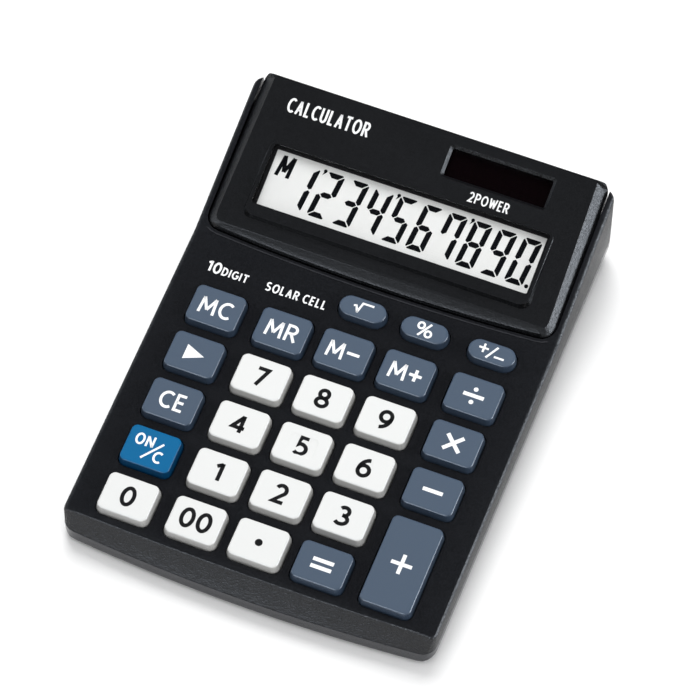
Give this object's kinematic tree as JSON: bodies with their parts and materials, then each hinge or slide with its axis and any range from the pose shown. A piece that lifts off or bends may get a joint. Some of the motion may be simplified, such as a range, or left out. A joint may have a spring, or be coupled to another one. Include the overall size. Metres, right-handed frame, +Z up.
{
  "type": "desk calculator",
  "caption": "Wedge-shaped desk calculator: raised display housing with a numeric display and solar window above a keypad of spring-back keys, on rubber feet.",
  "frame": {"origin": "on the desk, under the centre of the footprint", "axes": "+X to the right across the keypad, +Y from the front edge towards the display, +Z up"},
  "size_m": [0.102, 0.137, 0.0308],
  "materials": {
    "lower_case": "fine moulded grain, black",
    "upper_case": "fine moulded grain, black",
    "display_housing": "fine moulded grain, black",
    "display_lens": "clear polished window with a dark printed border",
    "lcd_panel": "pale reflective display face with dark digits",
    "strip": "dull conductive strip",
    "solar_window": "polished dark tint",
    "solar_cell": "near-black amorphous cells",
    "board": "green laminate",
    "mat": "matt grey silicone",
    "chip": "black epoxy",
    "capacitor": "dark blue sleeve",
    "cell": "bright can",
    "contact": "nickel-plated spring strip",
    "foot": "matt black rubber",
    "screw": "bright zinc",
    "key_white": "satin white moulding, black figures",
    "key_slate": "satin blue-grey moulding, white figures",
    "key_blue": "satin blue moulding, white figures"
  },
  "bodies": {
    "case": {"lower_case": "lower_case", "upper_case": "upper_case", "display_housing": "display_housing", "display_lens": "display_lens", "lcd_panel": "lcd_panel", "lcd_strip": "strip", "solar_window": "solar_window", "solar_cell": "solar_cell", "circuit_board": "board", "key_mat": "mat", "chip_blob": "chip", "capacitor": "capacitor", "battery_door": "lower_case", "battery_door_screw": "screw", "button_cell": "cell", "battery_contact_top": "contact", "battery_contact_side": "contact", "board_screw_left": "screw", "board_screw_right": "screw", "case_screw_left_front": "screw", "case_screw_left_middle": "screw", "case_screw_left_rear": "screw", "case_screw_right_front": "screw", "case_screw_right_middle": "screw", "case_screw_right_rear": "screw", "foot_left_front": "foot", "foot_left_rear": "foot", "foot_right_front": "foot", "foot_right_rear": "foot"},
    "key_memory_clear": {"key_memory_clear": "key_slate"},
    "key_memory_recall": {"key_memory_recall": "key_slate"},
    "key_memory_minus": {"key_memory_minus": "key_slate"},
    "key_memory_plus": {"key_memory_plus": "key_slate"},
    "key_divide": {"key_divide": "key_slate"},
    "key_backspace": {"key_backspace": "key_slate"},
    "key_7": {"key_7": "key_white"},
    "key_8": {"key_8": "key_white"},
    "key_9": {"key_9": "key_white"},
    "key_multiply": {"key_multiply": "key_slate"},
    "key_clear_entry": {"key_clear_entry": "key_slate"},
    "key_4": {"key_4": "key_white"},
    "key_5": {"key_5": "key_white"},
    "key_6": {"key_6": "key_white"},
    "key_minus": {"key_minus": "key_slate"},
    "key_on_clear": {"key_on_clear": "key_blue"},
    "key_1": {"key_1": "key_white"},
    "key_2": {"key_2": "key_white"},
    "key_3": {"key_3": "key_white"},
    "key_plus": {"key_plus": "key_slate"},
    "key_0": {"key_0": "key_white"},
    "key_00": {"key_00": "key_white"},
    "key_point": {"key_point": "key_white"},
    "key_equals": {"key_equals": "key_slate"},
    "key_root": {"key_root": "key_slate"},
    "key_percent": {"key_percent": "key_slate"},
    "key_sign": {"key_sign": "key_slate"}
  },
  "joints": [
    {"name": "key_memory_clear_press", "type": "slide", "parent": "case", "child": "key_memory_clear", "axis": [0, -0.0541, 0.9985], "range_m": [-0.0012, 0], "stiffness_N_per_m": 450, "springref_m": 0.0005},
    {"name": "key_memory_recall_press", "type": "slide", "parent": "case", "child": "key_memory_recall", "axis": [0, -0.0541, 0.9985], "range_m": [-0.0012, 0], "stiffness_N_per_m": 450, "springref_m": 0.0005},
    {"name": "key_memory_minus_press", "type": "slide", "parent": "case", "child": "key_memory_minus", "axis": [0, -0.0541, 0.9985], "range_m": [-0.0012, 0], "stiffness_N_per_m": 450, "springref_m": 0.0005},
    {"name": "key_memory_plus_press", "type": "slide", "parent": "case", "child": "key_memory_plus", "axis": [0, -0.0541, 0.9985], "range_m": [-0.0012, 0], "stiffness_N_per_m": 450, "springref_m": 0.0005},
    {"name": "key_divide_press", "type": "slide", "parent": "case", "child": "key_divide", "axis": [0, -0.0541, 0.9985], "range_m": [-0.0012, 0], "stiffness_N_per_m": 450, "springref_m": 0.0005},
    {"name": "key_backspace_press", "type": "slide", "parent": "case", "child": "key_backspace", "axis": [0, -0.0541, 0.9985], "range_m": [-0.0012, 0], "stiffness_N_per_m": 450, "springref_m": 0.0005},
    {"name": "key_7_press", "type": "slide", "parent": "case", "child": "key_7", "axis": [0, -0.0541, 0.9985], "range_m": [-0.0012, 0], "stiffness_N_per_m": 450, "springref_m": 0.0005},
    {"name": "key_8_press", "type": "slide", "parent": "case", "child": "key_8", "axis": [0, -0.0541, 0.9985], "range_m": [-0.0012, 0], "stiffness_N_per_m": 450, "springref_m": 0.0005},
    {"name": "key_9_press", "type": "slide", "parent": "case", "child": "key_9", "axis": [0, -0.0541, 0.9985], "range_m": [-0.0012, 0], "stiffness_N_per_m": 450, "springref_m": 0.0005},
    {"name": "key_multiply_press", "type": "slide", "parent": "case", "child": "key_multiply", "axis": [0, -0.0541, 0.9985], "range_m": [-0.0012, 0], "stiffness_N_per_m": 450, "springref_m": 0.0005},
    {"name": "key_clear_entry_press", "type": "slide", "parent": "case", "child": "key_clear_entry", "axis": [0, -0.0541, 0.9985], "range_m": [-0.0012, 0], "stiffness_N_per_m": 450, "springref_m": 0.0005},
    {"name": "key_4_press", "type": "slide", "parent": "case", "child": "key_4", "axis": [0, -0.0541, 0.9985], "range_m": [-0.0012, 0], "stiffness_N_per_m": 450, "springref_m": 0.0005},
    {"name": "key_5_press", "type": "slide", "parent": "case", "child": "key_5", "axis": [0, -0.0541, 0.9985], "range_m": [-0.0012, 0], "stiffness_N_per_m": 450, "springref_m": 0.0005},
    {"name": "key_6_press", "type": "slide", "parent": "case", "child": "key_6", "axis": [0, -0.0541, 0.9985], "range_m": [-0.0012, 0], "stiffness_N_per_m": 450, "springref_m": 0.0005},
    {"name": "key_minus_press", "type": "slide", "parent": "case", "child": "key_minus", "axis": [0, -0.0541, 0.9985], "range_m": [-0.0012, 0], "stiffness_N_per_m": 450, "springref_m": 0.0005},
    {"name": "key_on_clear_press", "type": "slide", "parent": "case", "child": "key_on_clear", "axis": [0, -0.0541, 0.9985], "range_m": [-0.0012, 0], "stiffness_N_per_m": 450, "springref_m": 0.0005},
    {"name": "key_1_press", "type": "slide", "parent": "case", "child": "key_1", "axis": [0, -0.0541, 0.9985], "range_m": [-0.0012, 0], "stiffness_N_per_m": 450, "springref_m": 0.0005},
    {"name": "key_2_press", "type": "slide", "parent": "case", "child": "key_2", "axis": [0, -0.0541, 0.9985], "range_m": [-0.0012, 0], "stiffness_N_per_m": 450, "springref_m": 0.0005},
    {"name": "key_3_press", "type": "slide", "parent": "case", "child": "key_3", "axis": [0, -0.0541, 0.9985], "range_m": [-0.0012, 0], "stiffness_N_per_m": 450, "springref_m": 0.0005},
    {"name": "key_plus_press", "type": "slide", "parent": "case", "child": "key_plus", "axis": [0, -0.0541, 0.9985], "range_m": [-0.0012, 0], "stiffness_N_per_m": 450, "springref_m": 0.0005},
    {"name": "key_0_press", "type": "slide", "parent": "case", "child": "key_0", "axis": [0, -0.0541, 0.9985], "range_m": [-0.0012, 0], "stiffness_N_per_m": 450, "springref_m": 0.0005},
    {"name": "key_00_press", "type": "slide", "parent": "case", "child": "key_00", "axis": [0, -0.0541, 0.9985], "range_m": [-0.0012, 0], "stiffness_N_per_m": 450, "springref_m": 0.0005},
    {"name": "key_point_press", "type": "slide", "parent": "case", "child": "key_point", "axis": [0, -0.0541, 0.9985], "range_m": [-0.0012, 0], "stiffness_N_per_m": 450, "springref_m": 0.0005},
    {"name": "key_equals_press", "type": "slide", "parent": "case", "child": "key_equals", "axis": [0, -0.0541, 0.9985], "range_m": [-0.0012, 0], "stiffness_N_per_m": 450, "springref_m": 0.0005},
    {"name": "key_root_press", "type": "slide", "parent": "case", "child": "key_root", "axis": [0, -0.0541, 0.9985], "range_m": [-0.0012, 0], "stiffness_N_per_m": 450, "springref_m": 0.0005},
    {"name": "key_percent_press", "type": "slide", "parent": "case", "child": "key_percent", "axis": [0, -0.0541, 0.9985], "range_m": [-0.0012, 0], "stiffness_N_per_m": 450, "springref_m": 0.0005},
    {"name": "key_sign_press", "type": "slide", "parent": "case", "child": "key_sign", "axis": [0, -0.0541, 0.9985], "range_m": [-0.0012, 0], "stiffness_N_per_m": 450, "springref_m": 0.0005}
  ]
}
